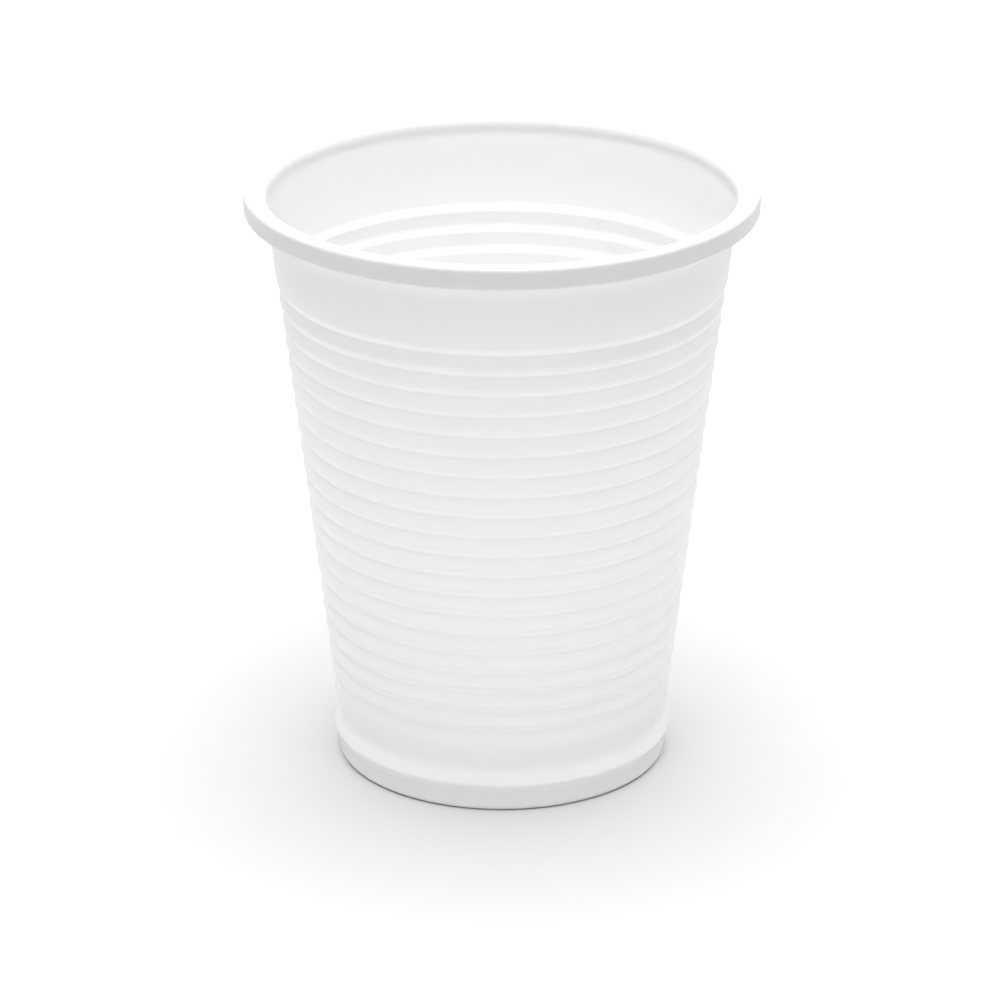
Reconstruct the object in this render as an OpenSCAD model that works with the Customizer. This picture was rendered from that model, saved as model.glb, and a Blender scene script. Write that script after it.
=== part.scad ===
/* [Cup] */
// Outer diameter over the rolled rim
rim_d = 70.3; // [62:0.1:84]
// Height from the foot to the top of the rim
cup_h = 83.1; // [72:0.1:120]
// Outer diameter of the foot ring at the bottom
foot_d = 46; // [40:0.1:52]
// Thickness of the plastic sheet
sheet_t = 0.3; // [0.2:0.05:0.5]

/* [Rim] */
// How far the rolled rim stands out from the wall
lip_w = 3.2; // [3:0.1:4]
// Height of the rolled rim
lip_h = 3.3; // [2.8:0.1:3.8]
// Lean of the rim's outer face, in towards its lower edge, in degrees
lip_lean = 3; // [0:1:15]
// Radius between the inside of the wall and the top of the rim
mouth_r = 2.4; // [1:0.1:2.5]
// Radius inside the rim's upper outer edge
lip_top_r = 0.4; // [0.2:0.05:0.5]
// Radius inside the rim's lower outer edge
lip_low_r = 0.2; // [0.1:0.05:0.5]
// Radius where the rolled edge turns up again beside the wall
curl_r = 0.6; // [0.6:0.05:0.8]
// Gap between the rolled edge and the wall
curl_gap = 0.25; // [0.1:0.05:0.4]
// Height of the rolled edge inside the rim
curl_h = 1; // [0.9:0.05:1.1]
// Height of the plain neck below the rim
neck_h = 9.7; // [5:0.1:12]

/* [Ribs] */
// Number of ribs round the wall, each stepping in at its lower edge
rib_n = 20; // [10:1:24]
// Height over which a rib steps in at its lower edge
ledge_h = 0.9; // [0.8:0.05:1.3]
// Depth of the highest step
step_top = 0.48; // [0.1:0.01:0.5]
// Depth of the lowest step
step_low = 0.42; // [0.1:0.01:0.5]

/* [Foot] */
// Height of the lowest rib's edge above the foot
rib_z = 13; // [12:0.1:16]
// How far the wall at the lowest rib stands out from the foot
waist_out = 1; // [0.6:0.05:2]
// Height at which the wall starts to draw in towards the foot
draw_z = 10; // [9:0.1:10.5]
// Height of the middle of the hollow above the foot bead
cove_z = 6.2; // [5.8:0.1:6.8]
// How far the hollow above the foot bead lies inside the foot
cove_in = 0.15; // [0:0.05:0.4]
// Height of the foot bead
bead_z = 3.9; // [3.6:0.1:4.2]
// How far the foot bead stands out from the foot
bead_out = 0.75; // [0.4:0.05:1]
// Radius inside the tip of the foot bead
bead_r = 0.4; // [0.2:0.05:0.5]
// Height of the groove under the foot bead
groove_z = 2.9; // [2.4:0.1:3.1]
// Width of the foot ring at the bottom
ring_w = 2.3; // [2:0.1:3.5]
// Radius inside the edges of the foot ring
ring_r = 0.5; // [0.3:0.05:0.6]

/* [Base] */
// Height of the base panel above the foot
base_z = 2.6; // [2:0.1:5]
// How far the foot ring's inner side leans in on its way up
ring_lean = 0.5; // [0.2:0.1:1]
// Diameter of the raised middle of the base
pad_d = 26; // [16:0.5:30]
// Height of the raised middle above the base panel
pad_h = 0.6; // [0.3:0.1:1]

/* [Hidden] */

// Fineness of the bends along the section, in degrees
bend_step = 7.5;
// Radii at a rib's lower edge and in the corner under it
edge_r = 1.4;
corner_r = 0.3;
// Radii of the wide bends, on the outside of the sheet
draw_r = 9;
cove_r = 3;
groove_r = 0.8;
base_r = 0.6;
pad_r = 1.5;
// Width of the slope round the raised middle of the base
pad_slope = 1.2;
// How far the foot's side leans out up to the groove
foot_lean = 0.1;

// Radii from the axis and heights that follow from the sizes above
foot_rad = foot_d / 2;
waist_rad = foot_rad + waist_out;
lip_z = cup_h - lip_h;
neck_z = lip_z - neck_h;
wall_rad = rim_d / 2 - lip_w;
taper = (wall_rad - waist_rad) / (lip_z - rib_z);
rib_pitch = (neck_z - rib_z) / (rib_n - 1);
rim_z = cup_h - sheet_t;
curl_z = lip_z + sheet_t;

// Outer radius of the wall, over the ribs, at height z
function wall_at(z) = waist_rad + taper * (z - rib_z);

// Direction along the wall, upwards, and the direction straight out of it
wall_up = [taper, 1] / norm([taper, 1]);
wall_out = [wall_up[1], -wall_up[0]];

// Every corner of the sheet's outer face is [radius, height, radius of its bend]

base_corners = [
    [0, base_z + pad_h, 0],
    [pad_d / 2 - pad_slope, base_z + pad_h, pad_r],
    [pad_d / 2, base_z, pad_r],
    [foot_rad - ring_w - ring_lean, base_z, base_r]
];

foot_corners = [
    [foot_rad - ring_w, 0, ring_r + sheet_t],
    [foot_rad, 0, ring_r + sheet_t],
    [foot_rad + foot_lean, groove_z, groove_r],
    [foot_rad + bead_out, bead_z, bead_r + sheet_t],
    [foot_rad - cove_in, cove_z, cove_r],
    [wall_at(draw_z), draw_z, draw_r]
];

// The corner under each rib, and the rib's lower edge above it
rib_corners = [
    for (i = [0 : rib_n - 1])
        let (
            z = rib_z + i * rib_pitch,
            depth = step_low + (step_top - step_low) * i / (rib_n - 1),
            corner = [wall_at(z - ledge_h), z - ledge_h] - depth * wall_out
        )
        each [
            [corner[0], corner[1], corner_r],
            [wall_at(z), z, edge_r]
        ]
];

// The leaning face meets the top at a sharp angle, so its corner lies further out than the bend reaches
lip_rad = rim_d / 2 - sheet_t + lip_top_r * (tan(45 + lip_lean / 2) - 1);

curl_start = [wall_at(lip_z) + curl_gap + sheet_t, curl_z];
curl_end = curl_start + (curl_h - sheet_t) / wall_up[1] * wall_up;

rim_corners = [
    [wall_at(rim_z), rim_z, mouth_r - sheet_t],
    [lip_rad, rim_z, lip_top_r],
    [lip_rad - (rim_z - curl_z) * tan(lip_lean), curl_z, lip_low_r],
    [curl_start[0], curl_start[1], curl_r - sheet_t],
    [curl_end[0], curl_end[1], 0]
];

corners = concat(base_corners, foot_corners, rib_corners, rim_corners);

function place_of(corner) = [corner[0], corner[1]];
function turned(v, angle) = [
    v[0] * cos(angle) - v[1] * sin(angle),
    v[0] * sin(angle) + v[1] * cos(angle)
];
// Direction out of the cup, square to the stretch from a to b
function face_of(a, b) = turned(b - a, -90) / norm(b - a);

// The bend at corner b, as points with the direction straight out of the sheet at each
function bend(a, b, c, r) =
    let (
        u = (b - a) / norm(b - a),
        w = (c - b) / norm(c - b),
        turn = atan2(u[0] * w[1] - u[1] * w[0], u * w),
        side = sign(turn),
        out = face_of(a, b),
        centre = b - r * tan(abs(turn) / 2) * u - side * r * out,
        steps = max(2, ceil(abs(turn) / bend_step))
    )
    [for (k = [0 : steps]) let (v = turned(out, turn * k / steps)) [centre + side * r * v, v]];

// The whole outer face, from the middle of the base to the rolled edge
last = len(corners) - 1;
outline = concat(
    [[place_of(corners[0]), face_of(place_of(corners[0]), place_of(corners[1]))]],
    [
        for (i = [1 : last - 1])
            each bend(
                place_of(corners[i - 1]),
                place_of(corners[i]),
                place_of(corners[i + 1]),
                corners[i][2]
            )
    ],
    [[place_of(corners[last]), face_of(place_of(corners[last - 1]), place_of(corners[last]))]]
);

module cup() {
    outer_face = [for (p = outline) p[0]];
    inner_face = [for (i = [len(outline) - 1 : -1 : 0]) outline[i][0] - sheet_t * outline[i][1]];
    color([0.94, 0.94, 0.95])
        rotate_extrude($fn = 180)
            polygon(concat(outer_face, inner_face));
}

cup();
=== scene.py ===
"""Dresses the plastic cup: forms its thin sheet, gives it its plastic and sets the stage round it."""

import math

import bpy
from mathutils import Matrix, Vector


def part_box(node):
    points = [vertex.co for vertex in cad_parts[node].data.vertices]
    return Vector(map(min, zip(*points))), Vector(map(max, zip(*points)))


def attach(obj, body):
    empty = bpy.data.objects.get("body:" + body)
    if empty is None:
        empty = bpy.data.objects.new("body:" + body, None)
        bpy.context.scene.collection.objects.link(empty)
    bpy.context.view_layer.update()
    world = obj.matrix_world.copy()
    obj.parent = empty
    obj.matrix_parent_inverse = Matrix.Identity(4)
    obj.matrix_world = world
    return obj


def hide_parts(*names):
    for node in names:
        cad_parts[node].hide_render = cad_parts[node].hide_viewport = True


bl_info = {
    "name": "Plastic Cup",
    "version": (1, 0, 0),
    "blender": (4, 5, 0),
    "location": "3D View > Sidebar > Plastic Cup",
    "description": "Forms a ribbed disposable cup from one thin sheet and sets a plain studio round it",
    "category": "Object",
}

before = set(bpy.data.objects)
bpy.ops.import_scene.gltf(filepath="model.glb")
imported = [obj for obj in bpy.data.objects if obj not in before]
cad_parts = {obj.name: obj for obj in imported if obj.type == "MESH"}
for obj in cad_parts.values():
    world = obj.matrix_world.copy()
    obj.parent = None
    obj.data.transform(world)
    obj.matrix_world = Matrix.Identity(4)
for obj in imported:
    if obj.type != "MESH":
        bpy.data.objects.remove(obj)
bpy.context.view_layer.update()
CUP_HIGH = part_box("cup")[1]

# A point this close to the axis, in metres, lies on it
AXIS_REACH = 1e-9

# Where nearly all of Blender's smooth noise lies, between 0 and 1
NOISE_SPREAD = (0.3, 0.7)

# How many finer layers the noise adds, in the clouds and draw lines and in the fine ripple
DRAWN_LAYERS = 2.0
GRAIN_LAYERS = 1.0


def length(name, description, default):
    """A length in metres, shown down to the hundredth of a millimetre."""
    return bpy.props.FloatProperty(
        name=name, description=description, default=default, precision=5, unit="LENGTH"
    )


def share(name, description, default):
    """A number from 0 to 1."""
    return bpy.props.FloatProperty(
        name=name, description=description, default=default, min=0.0, max=1.0, subtype="FACTOR"
    )


def paint(name, description, default):
    """A colour."""
    return bpy.props.FloatVectorProperty(
        name=name, description=description, default=default, size=3, min=0.0, max=1.0, subtype="COLOR"
    )


def turning(name, description, degrees):
    """An angle."""
    return bpy.props.FloatProperty(
        name=name, description=description, default=math.radians(degrees), subtype="ANGLE"
    )


def amount(name, description, default):
    """A plain number."""
    return bpy.props.FloatProperty(name=name, description=description, default=default)


def count(name, description, default, low, high):
    """A whole number."""
    return bpy.props.IntProperty(
        name=name, description=description, default=default, min=low, max=high
    )


class RimSizes(bpy.types.PropertyGroup):
    """Sizes of the rolled rim and the plain neck under it"""

    radius: length("Radius", "Outer radius over the rolled rim", CUP_HIGH.x)
    top: length("Top", "Height from the foot to the top of the rim", CUP_HIGH.z)
    width: length("Width", "How far the rolled rim stands out from the wall", 0.0032)
    height: length("Height", "Height of the rolled rim", 0.0033)
    lean: turning("Lean", "How far the rim's outer face leans in towards its lower edge", 3)
    mouth_bend: length("Mouth bend", "Radius between the inside of the wall and the rim", 0.0024)
    upper_bend: length("Upper bend", "Radius inside the rim's upper outer edge", 0.0004)
    lower_bend: length("Lower bend", "Radius inside the rim's lower outer edge", 0.0002)
    curl_bend: length("Curl bend", "Radius where the rolled edge turns up again", 0.0006)
    curl_gap: length("Curl gap", "Gap between the rolled edge and the wall", 0.00025)
    curl_height: length("Curl height", "Height of the rolled edge inside the rim", 0.0010)
    neck: length("Neck", "Height of the plain neck below the rim", 0.0097)


class RibSizes(bpy.types.PropertyGroup):
    """Sizes of the ribs: rings up the wall, each stepping in at its lower edge"""

    ribs: count("Ribs", "Number of steps up the wall", 20, 10, 24)
    lowest: length("Lowest", "Height of the lowest rib's edge above the foot", 0.0130)
    ledge: length("Ledge", "Height over which a rib steps in at its lower edge", 0.0009)
    upper_depth: length("Upper depth", "Depth of the highest step", 0.00048)
    lower_depth: length("Lower depth", "Depth of the lowest step", 0.00042)
    edge_bend: length("Edge bend", "Radius of a rib's lower edge", 0.0014)
    corner_bend: length("Corner bend", "Radius under a rib's lower edge", 0.0003)


class FootSizes(bpy.types.PropertyGroup):
    """Sizes of the foot, its bead and the raised base"""

    radius: length("Radius", "Outer radius of the foot ring at the bottom", 0.0230)
    waist_out: length("Waist", "How far the wall at the lowest rib stands out from the foot", 0.0010)
    draw_height: length("Draw height", "Height at which the wall starts to draw in", 0.0100)
    draw_bend: length("Draw bend", "Radius of the bend there", 0.0090)
    cove_height: length("Cove height", "Height of the middle of the hollow above the bead", 0.0062)
    cove_in: length("Cove depth", "How far the hollow lies inside the foot", 0.00015)
    cove_bend: length("Cove bend", "Radius of the hollow", 0.0030)
    bead_height: length("Bead height", "Height of the foot bead", 0.0039)
    bead_out: length("Bead", "How far the foot bead stands out from the foot", 0.00075)
    bead_bend: length("Bead bend", "Radius inside the tip of the bead", 0.0004)
    groove_height: length("Groove height", "Height of the groove under the bead", 0.0029)
    groove_bend: length("Groove bend", "Radius of the groove", 0.0008)
    lean: length("Lean", "How far the foot's side leans out up to the groove", 0.0001)
    ring_width: length("Ring width", "Width of the foot ring at the bottom", 0.0023)
    ring_bend: length("Ring bend", "Radius inside the edges of the foot ring", 0.0005)
    ring_lean: length("Ring lean", "How far the ring's inner side leans in on its way up", 0.0005)
    base_height: length("Base height", "Height of the base panel above the foot", 0.0026)
    base_bend: length("Base bend", "Radius round the edge of the base panel", 0.0006)
    pad_radius: length("Pad radius", "Radius of the raised middle of the base", 0.0130)
    pad_slope: length("Pad slope", "Width of the slope round the raised middle", 0.0012)
    pad_height: length("Pad height", "Height of the raised middle above the base panel", 0.0006)
    pad_bend: length("Pad bend", "Radius of the bends of the raised middle", 0.0015)


class SheetLook(bpy.types.PropertyGroup):
    """The plastic sheet, its fineness and its finish"""

    thickness: length("Thickness", "Thickness of the plastic sheet", 0.0003)
    segments: count("Segments", "Faces round the cup", 144, 48, 256)
    bend_step: turning("Bend step", "Turn of a bend from one point to the next", 9)
    plastic: paint("Plastic", "Colour of the plastic", (0.957, 0.957, 0.967))
    thin_plastic: paint("Thin plastic", "Colour where the sheet is thinner", (0.947, 0.947, 0.958))
    light_depth: length("Light depth", "How far light spreads inside the plastic", 0.0006)
    smooth: share("Smooth", "Roughness of the plastic at its smoothest", 0.32)
    dull: share("Dull", "Roughness of the plastic at its dullest", 0.46)
    stretch: amount("Stretch", "How many times taller than wide the draw lines are", 16.0)
    cloud_size: length("Cloud size", "Size of the clouds where the sheet is thicker or thinner", 0.0070)
    streak_size: length("Streak size", "Width of the faint draw lines up the wall", 0.0011)
    streak_height: length("Streak height", "How far the draw lines stand out", 0.000006)
    grain_size: length("Grain size", "Size of the fine ripple of the surface", 0.0005)
    grain_height: length("Grain height", "How far the ripple stands out", 0.000004)


class StageLook(bpy.types.PropertyGroup):
    """Camera, light and floor"""

    camera_distance: length("Camera distance", "Level distance from the cup to the camera", 0.600)
    camera_height: length("Camera height", "Height of the camera above the floor", 0.2786)
    camera_side: length("Camera side", "How far right of the cup's axis the camera stands", -0.00027)
    camera_tilt: turning("Camera tilt", "How far the camera looks down from level", 21.944)
    lens: amount("Lens", "Focal length in millimetres", 167.3)
    sensor: amount("Sensor", "Width of the camera's sensor in millimetres", 36.0)
    top_power: amount("Top power", "Power of the wide soft light overhead, in watts", 50.0)
    top_height: length("Top height", "Height of the light overhead", 1.6)
    top_width: length("Top width", "Width of the light overhead", 2.24)
    top_back: length("Top back", "How far behind the cup the light overhead hangs", 0.17)
    front_power: amount("Front power", "Power of the soft light at the front, in watts", 8.0)
    front_distance: length("Front distance", "Distance from the cup to the front light", 1.8)
    front_height: turning("Front angle", "Angle of the front light above the floor", 58)
    front_width: length("Front width", "Width of the front light", 2.0)
    front_depth: length("Front depth", "Height of the front light", 0.8)
    sky: amount("Sky", "Strength of the even light from all round", 0.15)
    floor_size: length("Floor size", "Width of the floor", 6.0)
    floor_seen: share("Floor seen", "Tone of the floor as the camera sees it", 0.69)
    floor_bounce: share("Floor bounce", "Tone of the floor in the light it throws back", 0.65)


def turned(v, angle):
    """v turned by angle, to the left."""
    return Vector(
        (
            v.x * math.cos(angle) - v.y * math.sin(angle),
            v.x * math.sin(angle) + v.y * math.cos(angle),
        )
    )


def face_of(a, b):
    """Direction out of the cup, square to the stretch from a to b."""
    return turned((b - a).normalized(), -math.pi / 2)


class Section:
    """The sheet's section. Its outer face is a row of corners, (radius, height) and the bend there."""

    def __init__(self, rim, rib, foot, sheet):
        self.rim = rim
        self.rib = rib
        self.foot = foot
        self.sheet = sheet
        self.lip_low = rim.top - rim.height
        self.neck_low = self.lip_low - rim.neck
        self.waist = foot.radius + foot.waist_out
        self.taper = (rim.radius - rim.width - self.waist) / (self.lip_low - rib.lowest)
        self.pitch = (self.neck_low - rib.lowest) / (rib.ribs - 1)
        self.up = Vector((self.taper, 1)).normalized()
        self.out = Vector((self.up.y, -self.up.x))

    def wall(self, height):
        """The wall's outer face, over the ribs, at a height."""
        return Vector((self.waist + self.taper * (height - self.rib.lowest), height))

    def base_corners(self):
        """The corners of the raised base, from the axis out."""
        foot = self.foot
        pad_top = foot.base_height + foot.pad_height
        edge = foot.radius - foot.ring_width - foot.ring_lean
        return [
            (Vector((0, pad_top)), 0),
            (Vector((foot.pad_radius - foot.pad_slope, pad_top)), foot.pad_bend),
            (Vector((foot.pad_radius, foot.base_height)), foot.pad_bend),
            (Vector((edge, foot.base_height)), foot.base_bend),
        ]

    def foot_corners(self):
        """The corners of the foot ring, the bead and the hollow above it."""
        foot, sheet = self.foot, self.sheet.thickness
        return [
            (Vector((foot.radius - foot.ring_width, 0)), foot.ring_bend + sheet),
            (Vector((foot.radius, 0)), foot.ring_bend + sheet),
            (Vector((foot.radius + foot.lean, foot.groove_height)), foot.groove_bend),
            (Vector((foot.radius + foot.bead_out, foot.bead_height)), foot.bead_bend + sheet),
            (Vector((foot.radius - foot.cove_in, foot.cove_height)), foot.cove_bend),
            (self.wall(foot.draw_height), foot.draw_bend),
        ]

    def rib_corners(self):
        """The two corners of each step: the corner under a rib, and the rib's lower edge above it."""
        rib = self.rib
        corners = []
        for i in range(rib.ribs):
            edge = rib.lowest + i * self.pitch
            depth = rib.lower_depth + (rib.upper_depth - rib.lower_depth) * i / (rib.ribs - 1)
            corner = self.wall(edge - rib.ledge) - depth * self.out
            corners += [(corner, rib.corner_bend), (self.wall(edge), rib.edge_bend)]
        return corners

    def rim_corners(self):
        """The corners of the rolled rim, from the mouth round to the rolled edge."""
        rim, sheet = self.rim, self.sheet.thickness
        top = rim.top - sheet
        low = self.lip_low + sheet
        edge = rim.radius - sheet + rim.upper_bend * (math.tan(math.pi / 4 + rim.lean / 2) - 1)
        curl = Vector((self.wall(self.lip_low).x + rim.curl_gap + sheet, low))
        end = curl + (rim.curl_height - sheet) / self.up.y * self.up
        return [
            (self.wall(top), rim.mouth_bend - sheet),
            (Vector((edge, top)), rim.upper_bend),
            (Vector((edge - (top - low) * math.tan(rim.lean), low)), rim.lower_bend),
            (curl, rim.curl_bend - sheet),
            (end, 0),
        ]

    def bend(self, a, b, c, radius):
        """Points round the bend at b, each with the direction straight out of the sheet."""
        u, w = (b - a).normalized(), (c - b).normalized()
        turn = math.atan2(u.x * w.y - u.y * w.x, u.dot(w))
        side = math.copysign(1, turn)
        out = face_of(a, b)
        centre = b - radius * math.tan(abs(turn) / 2) * u - side * radius * out
        steps = max(2, math.ceil(abs(turn) / self.sheet.bend_step))
        normals = [turned(out, turn * k / steps) for k in range(steps + 1)]
        return [(centre + side * radius * n, n) for n in normals]

    def outer_face(self):
        """The outer face from the middle of the base to the rolled edge."""
        corners = self.base_corners() + self.foot_corners() + self.rib_corners() + self.rim_corners()
        places = [place for place, _ in corners]
        line = [(places[0], face_of(places[0], places[1]))]
        for i in range(1, len(places) - 1):
            line += self.bend(places[i - 1], places[i], places[i + 1], corners[i][1])
        line.append((places[-1], face_of(places[-2], places[-1])))
        return line

    def rows(self):
        """The whole section, along the outer face and back along the inner one, and where it turns."""
        outer = self.outer_face()
        inner = [(p - self.sheet.thickness * n, -n) for p, n in reversed(outer)]
        return outer + inner, len(outer)


def spun_mesh(name, rows, turn_row, segments):
    """A closed mesh of rows of (point, normal) spun about Z, with a flat cut edge before turn_row."""
    turns = [2 * math.pi * k / segments for k in range(segments)]
    on_axis = [point.x < AXIS_REACH for point, _ in rows]
    verts, starts = [], []
    for (point, _), single in zip(rows, on_axis):
        starts.append(len(verts))
        around = turns[:1] if single else turns
        verts += [(point.x * math.cos(t), point.x * math.sin(t), point.y) for t in around]

    def vert(row, k):
        return starts[row] + (0 if on_axis[row] else k % segments)

    faces, face_corners = [], []
    for row in range(len(rows) - 1):
        for k in range(segments):
            ring = [(row, k), (row, k + 1), (row + 1, k + 1), (row + 1, k)]
            kept = [c for i, c in enumerate(ring) if vert(*c) != vert(*ring[i - 1])]
            faces.append([vert(*c) for c in kept])
            face_corners.append(kept)
    mesh = bpy.data.meshes.new(name)
    mesh.from_pydata(verts, [], faces)
    mesh.shade_smooth()

    normals = []
    for face, corners in zip(mesh.polygons, face_corners):
        cut_edge = corners[0][0] == turn_row - 1
        for row, k in corners:
            n, t = rows[row][1], 2 * math.pi * k / segments
            round_normal = (n.x * math.cos(t), n.x * math.sin(t), n.y)
            normals.append(tuple(face.normal) if cut_edge else round_normal)
    mesh.normals_split_custom_set(normals)
    return mesh


def linked(name, data):
    """A new object in the scene."""
    obj = bpy.data.objects.new(name, data)
    bpy.context.scene.collection.objects.link(obj)
    return obj


class Nodes:
    """A material with its Principled shader, and short ways to add nodes to it."""

    def __init__(self, name):
        self.material = bpy.data.materials.new(name)
        self.material.use_nodes = True
        self.tree = self.material.node_tree
        self.shader = next(n for n in self.tree.nodes if n.type == "BSDF_PRINCIPLED")

    def set(self, **values):
        """Sets the shader's own sockets."""
        for socket, value in values.items():
            self.shader.inputs[socket.replace("_", " ")].default_value = value

    def feed(self, socket, output):
        """Links a node's output to one of the shader's sockets."""
        self.tree.links.new(output, self.shader.inputs[socket])

    def add(self, kind, **inputs):
        """A node, with its inputs linked to other nodes or set to values."""
        node = self.tree.nodes.new(kind)
        for socket, value in inputs.items():
            target = node.inputs[socket.replace("_", " ")]
            if isinstance(value, bpy.types.NodeSocket):
                self.tree.links.new(value, target)
            else:
                target.default_value = value
        return node

    def place(self, squeeze):
        """Places on the object, squeezed by a factor along each axis."""
        coordinates = self.tree.nodes.new("ShaderNodeTexCoord").outputs["Object"]
        return self.add("ShaderNodeMapping", Vector=coordinates, Scale=squeeze).outputs[0]

    def noise(self, place, size, layers):
        """Smooth noise from 0 to 1, with patches of the given size."""
        return self.add("ShaderNodeTexNoise", Vector=place, Scale=1 / size, Detail=layers).outputs["Fac"]

    def between(self, mask, low, high):
        """A number that goes from low to high where the mask goes over its usual spread."""
        usual_low, usual_high = NOISE_SPREAD
        spread = self.add(
            "ShaderNodeMapRange",
            Value=mask,
            From_Min=usual_low,
            From_Max=usual_high,
            To_Min=low,
            To_Max=high,
        )
        return spread.outputs[0]

    def tint(self, mask, first, second):
        """A colour that goes from first to second with the mask."""
        mix = self.tree.nodes.new("ShaderNodeMix")
        mix.data_type = "RGBA"
        factor, a, b = mix.inputs[0], mix.inputs[6], mix.inputs[7]
        self.tree.links.new(mask, factor)
        a.default_value = (*first, 1)
        b.default_value = (*second, 1)
        return mix.outputs[2]


def cup_plastic(sheet):
    """Satin white plastic that lets light through, a little uneven from being drawn."""
    nodes = Nodes("satin_sheet")
    nodes.set(
        Subsurface_Weight=1.0,
        Subsurface_Radius=(1, 1, 1),
        Subsurface_Scale=sheet.light_depth,
        IOR=1.49,
    )
    even = nodes.place((1, 1, 1))
    drawn = nodes.place((1, 1, 1 / sheet.stretch))

    clouds = nodes.noise(even, sheet.cloud_size, DRAWN_LAYERS)
    thin = nodes.between(clouds, 0.0, 1.0)
    nodes.feed("Base Color", nodes.tint(thin, sheet.plastic, sheet.thin_plastic))

    streaks = nodes.noise(drawn, sheet.streak_size, DRAWN_LAYERS)
    nodes.feed("Roughness", nodes.between(streaks, sheet.smooth, sheet.dull))

    grain = nodes.noise(even, sheet.grain_size, GRAIN_LAYERS)
    lines = nodes.add("ShaderNodeBump", Strength=1.0, Distance=sheet.streak_height, Height=streaks)
    ripple = nodes.add(
        "ShaderNodeBump",
        Strength=1.0,
        Distance=sheet.grain_height,
        Height=grain,
        Normal=lines.outputs[0],
    )
    nodes.feed("Normal", ripple.outputs[0])
    return nodes.material


def floor_paint(look):
    """Matt floor, with one tone for the camera and reflections and another for the light it throws."""
    nodes = Nodes("floor_paint")
    nodes.set(Roughness=0.9, Specular_IOR_Level=0.0)
    seen = seen_rays(nodes.tree)
    nodes.feed("Base Color", nodes.tint(seen, (look.floor_bounce,) * 3, (look.floor_seen,) * 3))
    return nodes.material


def seen_rays(tree):
    """1 for what the camera sees, also in reflections and through clear things, and 0 for light."""
    path = tree.nodes.new("ShaderNodeLightPath")
    total = path.outputs["Is Camera Ray"]
    for ray in ("Is Glossy Ray", "Is Transmission Ray"):
        either = tree.nodes.new("ShaderNodeMath")
        either.operation = "MAXIMUM"
        tree.links.new(total, either.inputs[0])
        tree.links.new(path.outputs[ray], either.inputs[1])
        total = either.outputs[0]
    return total


def pale_sky(look):
    """A world that shows white behind everything, and lights with a weak even light."""
    world = bpy.data.worlds.new("pale_sky")
    world.use_nodes = True
    tree = world.node_tree
    strength = tree.nodes.new("ShaderNodeMapRange")
    strength.inputs["To Min"].default_value = look.sky
    strength.inputs["To Max"].default_value = 1.0
    tree.links.new(seen_rays(tree), strength.inputs["Value"])
    background = tree.nodes["Background"]
    background.inputs["Color"].default_value = (1, 1, 1, 1)
    tree.links.new(strength.outputs[0], background.inputs["Strength"])
    return world


def soft_light(name, power, width, depth, place):
    """A soft light that faces the cup and isn't seen itself."""
    lamp = bpy.data.lights.new(name, "AREA")
    lamp.shape = "ELLIPSE"
    lamp.size = width
    lamp.size_y = depth
    lamp.energy = power
    light = linked(name, lamp)
    light.location = place
    light.rotation_euler = place.to_track_quat("Z", "Y").to_euler()
    light.visible_camera = False


class CUP_OT_shell(bpy.types.Operator):
    """Forms the cup's sheet in place of the plain solid"""

    bl_idname = "cup.shell"
    bl_label = "Form the cup"

    def execute(self, context):
        scene = context.scene
        sheet = scene.cup_sheet
        rows, turn_row = Section(scene.cup_rim, scene.cup_ribs, scene.cup_foot, sheet).rows()
        cup = linked("cup_shell", spun_mesh("cup_shell", rows, turn_row, sheet.segments))
        cup.data.materials.append(cup_plastic(sheet))
        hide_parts("cup")
        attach(cup, "root")
        return {"FINISHED"}


class CUP_OT_stage(bpy.types.Operator):
    """Sets the floor, the light and the camera"""

    bl_idname = "cup.stage"
    bl_label = "Set the stage"

    def execute(self, context):
        scene = context.scene
        look = scene.cup_stage
        half = look.floor_size / 2
        floor = bpy.data.meshes.new("floor")
        corners = [(-half, -half, 0), (half, -half, 0), (half, half, 0), (-half, half, 0)]
        floor.from_pydata(corners, [], [(0, 1, 2, 3)])
        floor.materials.append(floor_paint(look))
        linked("floor", floor)

        scene.world = pale_sky(look)
        over = Vector((0, look.top_back, look.top_height))
        soft_light("top_light", look.top_power, look.top_width, look.top_width, over)
        rise = look.front_height
        front = look.front_distance * Vector((0, -math.cos(rise), math.sin(rise)))
        soft_light("front_light", look.front_power, look.front_width, look.front_depth, front)

        lens = bpy.data.cameras.new("camera")
        lens.lens = look.lens
        lens.sensor_width = look.sensor
        camera = linked("camera", lens)
        camera.location = (look.camera_side, -look.camera_distance, look.camera_height)
        camera.rotation_euler = (math.pi / 2 - look.camera_tilt, 0, 0)
        scene.camera = camera
        scene.view_settings.view_transform = "Standard"
        return {"FINISHED"}


class CUP_PT_panel(bpy.types.Panel):
    """Lists the steps that make the cup and its stage"""

    bl_label = "Plastic Cup"
    bl_space_type = "VIEW_3D"
    bl_region_type = "UI"
    bl_category = "Plastic Cup"

    def draw(self, context):
        for step in (CUP_OT_shell, CUP_OT_stage):
            self.layout.operator(step.bl_idname)


SETTINGS = {
    "cup_rim": RimSizes,
    "cup_ribs": RibSizes,
    "cup_foot": FootSizes,
    "cup_sheet": SheetLook,
    "cup_stage": StageLook,
}
CLASSES = (*SETTINGS.values(), CUP_OT_shell, CUP_OT_stage, CUP_PT_panel)


def register():
    for cls in CLASSES:
        bpy.utils.register_class(cls)
    for name, group in SETTINGS.items():
        setattr(bpy.types.Scene, name, bpy.props.PointerProperty(type=group))


def unregister():
    for name in SETTINGS:
        delattr(bpy.types.Scene, name)
    for cls in reversed(CLASSES):
        bpy.utils.unregister_class(cls)


def main():
    register()
    bpy.ops.cup.shell()
    bpy.ops.cup.stage()


if __name__ == "__main__":
    main()
